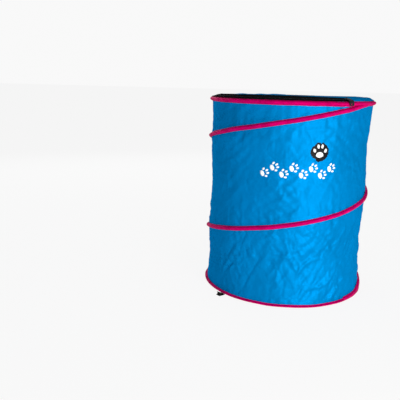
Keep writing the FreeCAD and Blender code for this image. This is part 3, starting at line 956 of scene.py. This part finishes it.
def add_coils():
    """Nylon teeth of both halves. They mesh, except where the slider's post holds them apart."""
    pitch = math.degrees(0.00175 / ZIP_LINE[0])
    stop = math.degrees(0.0045 / ZIP_LINE[0])
    degrees = sector(ZIP_REAR_END + stop, ZIP_FRONT_END - stop, pitch)
    apart = math.degrees(0.0065 / ZIP_LINE[0])
    for name, side, shift in (("outer_zip_coil_teeth", 1, 0.0), ("inner_zip_coil_teeth", -1, pitch / 2)):
        teeth = []
        for angle in degrees + shift:
            turn = (angle - SLIDER_ANGLE + 180) % 360 - 180
            tip = COIL_INNER if turn > -apart else -0.0004
            for up in (0.0007, -0.0007):
                near = tape_path(np.array([angle + pitch * 0.2 * np.sign(up)]), side * COIL_OUTER, up)[0]
                far = tape_path(np.array([angle]), side * tip, up * 0.6)[0]
                teeth.append(capsule(near, far, 0.00045, 4))
            back = side * (COIL_OUTER - 0.0001)
            edge = [tape_path(np.array([angle + pitch * 0.2 * s]), back, s * 0.0009)[0] for s in (-1, 1)]
            teeth.append(capsule(edge[0], edge[1], 0.0004, 4))
        coil = joined(name, teeth, ZIP_COIL)
        if side > 0:
            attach(coil, "top_hoop")
            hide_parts("outer_zip_coil")
        else:
            bends_at_hinge(coil, "inner_zip_coil", "zip_end_coil")


# ---- rounded hardware ----------------------------------------------------------------------------
def plate(outline, low, high, bevel):
    """A flat plate with that outline, as (x, y) points, and bevelled rims."""
    outline = np.asarray(outline, float)
    centre = outline.mean(0)
    outward = outline - centre
    outward /= np.linalg.norm(outward, axis=1, keepdims=True)
    layers = []
    for inset, height in ((bevel * 2.2, low), (bevel * 0.3, low + bevel * 0.3), (0.0, low + bevel),
                          (0.0, high - bevel), (bevel * 0.3, high - bevel * 0.3), (bevel * 2.2, high)):
        edge = outline - outward * inset
        layers.append(np.column_stack([edge, np.full(len(edge), height)]))
    sides = len(outline)
    points = np.vstack([[[*centre, low]], *layers, [[*centre, high]]])
    faces = []
    for layer in range(len(layers) - 1):
        for index in range(sides):
            after = (index + 1) % sides
            a, b = 1 + layer * sides, 1 + (layer + 1) * sides
            faces.append([a + index, a + after, b + after, b + index])
    top = 1 + (len(layers) - 1) * sides
    for index in range(sides):
        after = (index + 1) % sides
        faces.append([0, 1 + after, 1 + index])
        faces.append([len(points) - 1, top + index, top + after])
    return points, faces


def superellipse(half_x, half_y, power=4, count=14):
    """A rounded rectangle, squarer with a higher power."""
    turn = np.linspace(0, 2 * math.pi, count, endpoint=False)
    x = half_x * np.sign(np.cos(turn)) * np.abs(np.cos(turn)) ** (2 / power)
    y = half_y * np.sign(np.sin(turn)) * np.abs(np.sin(turn)) ** (2 / power)
    return np.column_stack([x, y])


def rounded_outline(half_width, half_length, power, waist=0.0, count=44):
    """The same, but waist narrows it towards -y."""
    x, y = superellipse(half_width, half_length, power, count).T
    return np.column_stack([x * (1 - waist * (1 - y / half_length) / 2), y])


def on_zip(points, degrees):
    """From (across, along, up) about the zip's line to the barrel, at that angle."""
    tilt = Matrix.Rotation(ZIP_SLOPE, 3, "Y")
    turn = Matrix.Rotation(math.radians(degrees), 3, "Z")
    move = np.array([ZIP_LINE[0], 0.0, ZIP_LINE[1]])
    return (np.asarray(points) @ np.array(tilt).T + move) @ np.array(turn).T


def moved(shape, by):
    points, faces = shape
    return points + np.asarray(by), faces


def bar_along(points_2d, profile):
    """A closed section swept along (along, up) points and capped, as a bail."""
    line = np.array([[0.0, along, up] for along, up in points_2d])
    side = np.tile([1.0, 0.0, 0.0], (len(line), 1))
    normal = np.cross(side, tangents(line))
    rows = line[:, None] + side[:, None] * profile[None, :, :1] + normal[:, None] * profile[None, :, 1:]
    count = profile.shape[0]
    faces = [list(face) for face in grid_faces(len(line), count, closed_columns=True)[0]]
    faces += [list(range(count))[::-1], [(len(line) - 1) * count + index for index in range(count)]]
    return rows.reshape(-1, 3), faces


CHAMBER, PLATE = 0.0030, 0.0011
SLIDER_HALF_LENGTH, SLIDER_HALF_WIDTH = 0.0065, 0.0052
CROWN_HALF_LENGTH, CROWN_HEIGHT, CROWN_BAR = 0.0045, 0.0036, 0.0010
CROWN_FOOT = CHAMBER / 2 + PLATE


def add_slider():
    """Two plates with flanges round the coils, joined by a post, and the bail on top."""
    outline = rounded_outline(SLIDER_HALF_WIDTH, SLIDER_HALF_LENGTH, 3.6, waist=0.1)
    shapes = [plate(outline, CHAMBER / 2, CROWN_FOOT, 0.00035),
              plate(outline, -CROWN_FOOT, -CHAMBER / 2, 0.00035)]
    post = plate(rounded_outline(0.0005, 0.0022, 2.5, count=16), -CHAMBER / 2, CHAMBER / 2, 0.0001)
    shapes.append(moved(post, (0, 0.0032, 0)))
    for side in (-1, 1):
        for low, high in ((0.0009, CHAMBER / 2), (-CHAMBER / 2, -0.0009)):
            flange = plate(rounded_outline(0.0008, 0.0042, 5, count=20), low, high, 0.0002)
            shapes.append(moved(flange, (side * (SLIDER_HALF_WIDTH - 0.0012), 0, 0)))
    ridge = plate(rounded_outline(0.0026, 0.0052, 3), CROWN_FOOT - 0.0001, CROWN_FOOT + 0.00035, 0.00015)
    shapes.append(ridge)
    shapes = [(on_zip(points, SLIDER_ANGLE), faces) for points, faces in shapes]
    body = joined("slider_body_cast", shapes, LACQUER)
    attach(body, "slider")
    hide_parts("slider_body")
    rise = CROWN_HEIGHT - CROWN_BAR / 2
    flat, foot = CROWN_HALF_LENGTH - 0.0014, CROWN_FOOT - 0.0001
    curve = [(-CROWN_HALF_LENGTH + 0.0007, foot), (-CROWN_HALF_LENGTH + 0.0007, foot + rise * 0.5)]
    for turn in np.linspace(180, 90, 7):
        curve.append((-flat + 0.0007 * math.cos(math.radians(turn)),
                      CROWN_FOOT + rise - 0.0007 + 0.0007 * math.sin(math.radians(turn))))
    curve += [(-along, up) for along, up in curve[::-1]]
    crown = bar_along(curve, superellipse(0.0008, CROWN_BAR / 2))
    piece = joined("slider_crown_bail", [(on_zip(crown[0], SLIDER_ANGLE), crown[1])], LACQUER)
    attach(piece, "slider")
    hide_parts("slider_crown")


EYE_RADIUS, EYE_HOLE, EYE_HALF_WIDTH = 0.0025, 0.0013, 0.0018
PULL_HALF_WIDTH, PULL_HALF_THICKNESS, PULL_BAR = 0.010, 0.0008, 0.0070
PULL_END_BAR, PULL_WINDOW_LENGTH = 0.0026, 0.0050


def pull_line():
    """The pull's middle line as (radius, height): down the tape's slope, over the hoop and down."""
    middle = PIVOT_HEIGHT
    start = np.array(zip_place(EYE_RADIUS - 0.0004, middle))
    bend_start = np.array(zip_place(0.017, middle))
    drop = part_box("pull_frame")[0].z
    drop_radius = TRIM_DEPTH + WALL_RADIUS + 0.0029 + PULL_HALF_THICKNESS
    bend_end = np.array([drop_radius, bend_start[1] - 0.0092])
    tip = np.array([drop_radius, drop])
    corner = np.array([drop_radius - 0.0004, bend_start[1] - 0.0012])
    share = np.linspace(0, 1, 14)[:, None]
    bend = (1 - share) ** 2 * bend_start + 2 * share * (1 - share) * corner + share**2 * bend_end
    line = np.vstack([np.linspace(start, bend_start, 16)[:-1], bend, np.linspace(bend_end, tip, 10)[1:]])
    return line


def add_pull():
    """The link through the slider's bail, and the broad plate with a window near its end."""
    eye = np.linspace(0, 2 * math.pi, 28, endpoint=False)
    thickness = (EYE_RADIUS - EYE_HOLE) / 2
    ring = superellipse(EYE_HALF_WIDTH, thickness, 4, 16)
    middle = EYE_HOLE + thickness
    rows = np.stack([
        np.stack([(middle + ring[:, 1]) * math.cos(turn), ring[:, 0],
                  (middle + ring[:, 1]) * math.sin(turn) + PIVOT_HEIGHT], -1) for turn in eye
    ])
    faces = grid_faces(len(eye), 16, closed_rows=True, closed_columns=True)[0].tolist()
    piece = joined("pull_eye_ring", [(on_zip(rows.reshape(-1, 3), SLIDER_ANGLE), faces)], LACQUER)
    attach(piece, "pull")
    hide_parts("pull_eye")

    line = pull_line()
    reach = lengths_along(line)
    length = reach[-1]
    tangent = tangents(line)

    def on_line(along, aside, lift):
        place = np.stack([np.interp(along, reach, line[:, axis]) for axis in (0, 1)], -1)
        way = np.stack([np.interp(along, reach, tangent[:, axis]) for axis in (0, 1)], -1)
        normal = np.stack([-way[..., 1], way[..., 0]], -1)
        place = place + normal * lift[..., None]
        points = np.stack([place[..., 0], aside, place[..., 1]], -1)
        return points @ np.array(Matrix.Rotation(math.radians(SLIDER_ANGLE), 3, "Z")).T

    count, sides = 120, 44
    outer = superellipse(length / 2, PULL_HALF_WIDTH, 9, count).T
    inner = superellipse(PULL_WINDOW_LENGTH / 2, PULL_HALF_WIDTH - PULL_BAR, 5, count).T
    window_middle = length - PULL_END_BAR - PULL_WINDOW_LENGTH / 2
    shoulder = np.clip(1 - (outer[0] + length / 2) / 0.006, 0, 1)
    outer_aside = outer[1] * (1 - 0.45 * shoulder**2)
    section = superellipse(0.5, PULL_HALF_THICKNESS, 5, sides)
    share = section[:, 0] + 0.5
    along = (outer[0] + length / 2)[:, None] * share + (inner[0] + window_middle)[:, None] * (1 - share)
    aside = outer_aside[:, None] * share + inner[1][:, None] * (1 - share)
    lift = np.broadcast_to(section[:, 1], along.shape)
    points = on_line(along, aside, lift)
    faces = grid_faces(count, sides, closed_rows=True, closed_columns=True)[0].tolist()
    piece = joined("pull_frame_cast", [(points.reshape(-1, 3), faces)], LACQUER)
    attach(piece, "pull")
    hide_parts("pull_frame")


def add_stops():
    """Crimped metal across both coils at each end of the zip."""
    shapes = []
    for degrees, inwards in ((ZIP_FRONT_END, -1), (ZIP_REAR_END, 1)):
        crimp = plate(rounded_outline(COIL_OUTER, 0.002, 4, count=28), -0.0014, 0.0014, 0.0005)
        place = degrees + inwards * math.degrees(0.00205 / ZIP_LINE[0])
        shapes.append((on_zip(crimp[0], place), crimp[1]))
    stops = joined("zip_stops_crimped", shapes, LACQUER)
    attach(stops, "top_hoop")
    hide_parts("zip_stops")


# ---- peg loops and floor -------------------------------------------------------------------------
def add_peg_loop(place):
    """A strap folded into a drop-shaped loop, tacked down where its two ends meet the hoop."""
    node = "peg_loop_" + place
    joint = JOINTS[node + "_flap"]
    pivot = Vector(joint["pos_m"])
    outward = Vector((pivot.x, pivot.y, 0)).normalized()
    root = Vector((pivot.x, pivot.y, 0)).length
    thick, radius, reach = 0.0016, 0.006, 0.022
    half = thick / 2
    centre = (root + reach, half + radius)
    low_root, high_root = (root, half), (root, half + thick + 0.0001)
    run = math.hypot(reach, high_root[1] - centre[1])
    lean = math.atan2(high_root[1] - centre[1], -reach)
    touch = lean - math.acos(radius / run)
    line = [(root - 0.002, half), (root - 0.001, half), low_root]
    line += [(root + reach * share, half) for share in np.linspace(0.12, 0.96, 12)]
    for turn in np.linspace(-math.pi / 2, touch, 20):
        line.append((centre[0] + radius * math.cos(turn), centre[1] + radius * math.sin(turn)))
    last = line[-1]
    for share in np.linspace(0.08, 1, 12):
        sag = -0.0004 * math.sin(math.pi * share)
        line.append((last[0] + (high_root[0] - last[0]) * share,
                     last[1] + (high_root[1] - last[1]) * share + sag))
    line += [(root - 0.001, high_root[1]), (root - 0.002, high_root[1])]
    angle = math.atan2(outward.y, outward.x)
    path = np.array([[r * math.cos(angle), r * math.sin(angle), z] for r, z in line])
    sideways = np.tile([-math.sin(angle), math.cos(angle), 0.0], (len(path), 1))
    normal = np.cross(sideways, tangents(path))
    profile = flat_profile(-0.01, 0.01, half, 5)
    loop = sweep(node + "_webbing", path, sideways, normal, profile, WEBBING)
    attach(loop, node)
    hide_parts(node)
    threads = []
    for across in np.linspace(-0.0085, 0.0085, 24):
        bar = [Vector((math.cos(angle), math.sin(angle), 0)) * (root + r) + Vector((0, 0, 0.0034))
               + Vector((-math.sin(angle), math.cos(angle), 0)) * (across + shift)
               for r, shift in ((0.0008, 0.0), (0.0032, 0.0004))]
        threads.append(capsule(bar[0], bar[1], 0.0004))
    tack = joined(node + "_bar_tack", threads, BLACK_THREAD)
    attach(tack, node)


def add_floor_panel():
    """The round floor, lying a little uneven."""
    rings, columns = 60, 260
    share = np.linspace(0, 1, rings)
    degrees = np.linspace(-180, 180, columns, endpoint=False)
    angle, reach = np.meshgrid(degrees, share)
    rough = 0.0009 * rough_field((6, 14), rings, columns)
    rough += 0.0005 * rough_field((12, 30), rings, columns)
    wave = rough * np.sin(math.pi * np.clip(reach * 1.02, 0, 1))
    height = 0.0003 + np.clip(0.0012 + wave, 0, 0.004) * (1 - reach**8)
    panel = add_disc("floor_panel_nylon", polar((WALL_RADIUS - 0.0004) * reach, angle, height), NYLON)
    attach(panel, "base")
    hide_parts("floor_panel")


# ---- decoration ----------------------------------------------------------------------------------
def pad(centre, half_width, half_height, lean, dent, lift):
    """A domed oval of satin stitching on the wall; dent draws in its lower side."""
    rings, columns = 5, 28
    share = np.linspace(0, 1, rings)[:, None]
    turn = np.linspace(0, 2 * math.pi, columns, endpoint=False)[None]
    x = half_width * share * np.cos(turn)
    y = half_height * share * np.sin(turn) * (1 - dent * np.clip(-np.sin(turn), 0, 1) * np.cos(turn) ** 2)
    y = y + dent * half_height * share * np.clip(-np.sin(turn), 0, 1) ** 3 * 0.8
    cos, sin = math.cos(math.radians(lean)), math.sin(math.radians(lean))
    along, up = centre[0] + x * cos - y * sin, centre[1] + x * sin + y * cos
    dome = lift + 0.0009 * np.sqrt(np.clip(1 - (share * np.ones_like(turn)) ** 4, 0, 1))
    dome[-1] = -0.0002
    points = on_wall(along, up, dome).reshape(-1, 3)
    return points, grid_faces(rings, columns, closed_columns=True)[0].tolist()


def paw(along, height, size, lean, lift=0.0004):
    """A paw print: one wide pad and four toes."""
    cos, sin = math.cos(math.radians(lean)), math.sin(math.radians(lean))

    def place(x, y):
        return along + (x * cos - y * sin) * size, height + (x * sin + y * cos) * size

    shapes = [pad(place(0, -0.22), 0.34 * size, 0.27 * size, lean, 0.3, lift)]
    for x, y, turn in ((-0.42, 0.12, 24), (-0.16, 0.42, 8), (0.16, 0.42, -8), (0.42, 0.12, -24)):
        shapes.append(pad(place(x, y), 0.115 * size, 0.175 * size, lean + turn, 0.0, lift))
    return shapes


PRINT_LOW, PRINT_LEFT, PRINT_RIGHT = 0.484, -0.128, 0.108


def add_prints():
    """A trail of embroidered paw prints across the front, in place of any lettering."""
    trail = []
    steps = np.linspace(PRINT_LEFT, PRINT_RIGHT, 8)
    for number, along in enumerate(steps):
        side = 0.011 if number % 2 else -0.011
        trail += paw(along, PRINT_LOW + side, 0.031, -68)
    white = joined("print_trail_white", trail, WHITE_THREAD)
    centre = (0.061, PRINT_LOW + 0.066)
    badge = joined("print_badge_black", [pad(centre, 0.034, 0.034, 0, 0.0, 0.0002)], BLACK_THREAD)
    mark = joined("print_badge_white", paw(*centre, 0.046, 0, 0.0011), WHITE_THREAD)
    for piece in (white, badge, mark):
        squashed(piece)


# ---- build it ------------------------------------------------------------------------------------
add_wall()
add_seam()
add_hoop_trim("top_ring_trim", "top_ring_binding", TOP_HOOP_Z, TRIM_WIDTH, "top_hoop")
add_hoop_trim("bottom_ring_trim", "bottom_ring_binding", BOTTOM_HOOP_Z, BOTTOM_TRIM_WIDTH, "base")
add_spiral()
add_lid()
add_flap()
add_outer_tape()
add_inner_tape()
add_coils()
add_slider()
add_pull()
add_stops()
add_floor_panel()
add_peg_loop("front")
add_peg_loop("rear")
add_prints()
for node, material in (("top_ring_wire", STEEL), ("bottom_ring_wire", STEEL),
                       ("top_ring_ferrule", FERRULE), ("bottom_ring_ferrule", FERRULE)):
    frame["nodes"][node].data.materials.clear()
    frame["nodes"][node].data.materials.append(material)


# ---- floor, light and camera ---------------------------------------------------------------------
def add_stage():
    size, level = 60.0, -0.0006
    corners = [(-size, -size, level), (size, -size, level), (size, size, level), (-size, size, level)]
    finish = stage_finish("floor_paper", 0.06, 0.895)
    paper = add_mesh("floor_paper", corners, [[0, 1, 2, 3]], finish, smooth=False)


def add_light(name, place, target, size, power, colour=(1, 1, 1)):
    light = bpy.data.lights.new(name, "AREA")
    light.shape = "RECTANGLE"
    light.size, light.size_y = size
    light.energy = power
    light.color = colour
    lamp = bpy.data.objects.new(name, light)
    lamp.location = place
    lamp.rotation_mode = "QUATERNION"
    lamp.rotation_quaternion = (Vector(target) - Vector(place)).to_track_quat("-Z", "Y")
    scene.collection.objects.link(lamp)


def add_surroundings(seen, light):
    """White all round: `seen` is how bright it looks, `light` how much it lights the barrel."""
    world = bpy.data.worlds.new("studio")
    world.use_nodes = True
    nodes, links = world.node_tree.nodes, world.node_tree.links
    rays = nodes.new("ShaderNodeLightPath")
    strength = nodes.new("ShaderNodeMapRange")
    strength.inputs["To Min"].default_value = light
    strength.inputs["To Max"].default_value = seen
    links.new(rays.outputs["Is Camera Ray"], strength.inputs["Value"])
    links.new(strength.outputs[0], nodes["Background"].inputs["Strength"])
    nodes["Background"].inputs["Color"].default_value = (1, 1, 1, 1)
    scene.world = world


def add_camera():
    """The photograph's view: just above the lid, tilted down a little."""
    pitch, roll = math.radians(12.42), math.radians(1.5)
    forward = Vector((0, math.cos(pitch), -math.sin(pitch)))
    right = Vector((1, 0, 0))
    up = right.cross(forward)
    x_axis = right * math.cos(roll) + up * math.sin(roll)
    y_axis = up * math.cos(roll) - right * math.sin(roll)
    data = bpy.data.cameras.new("camera")
    data.lens = 48.47
    data.clip_end = 120
    camera = bpy.data.objects.new("camera", data)
    turn = Matrix((x_axis, y_axis, -forward)).transposed().to_4x4()
    camera.matrix_world = Matrix.Translation((-0.335, -2.070, 0.770)) @ turn
    scene.collection.objects.link(camera)
    scene.camera = camera


add_stage()
middle = (0, 0, 0.38)
add_light("key", (1.25, -2.7, 0.66), middle, (1.2, 1.2), 60, (1.0, 1.0, 0.95))
add_light("fill", (-2.6, -1.6, 1.2), middle, (1.6, 1.6), 13, (0.8, 0.82, 1.0))
add_light("over", (0.4, -0.6, 3.2), middle, (2.0, 2.0), 14)
add_light("low", (0.55, -1.7, 0.16), (0.05, 0, 0.15), (0.9, 0.25), 12, (1.0, 1.0, 0.95))
add_light("back", (-1.2, 3.0, 1.9), middle, (2.6, 2.0), 45)
add_surroundings(seen=0.945, light=0.3)
add_camera()
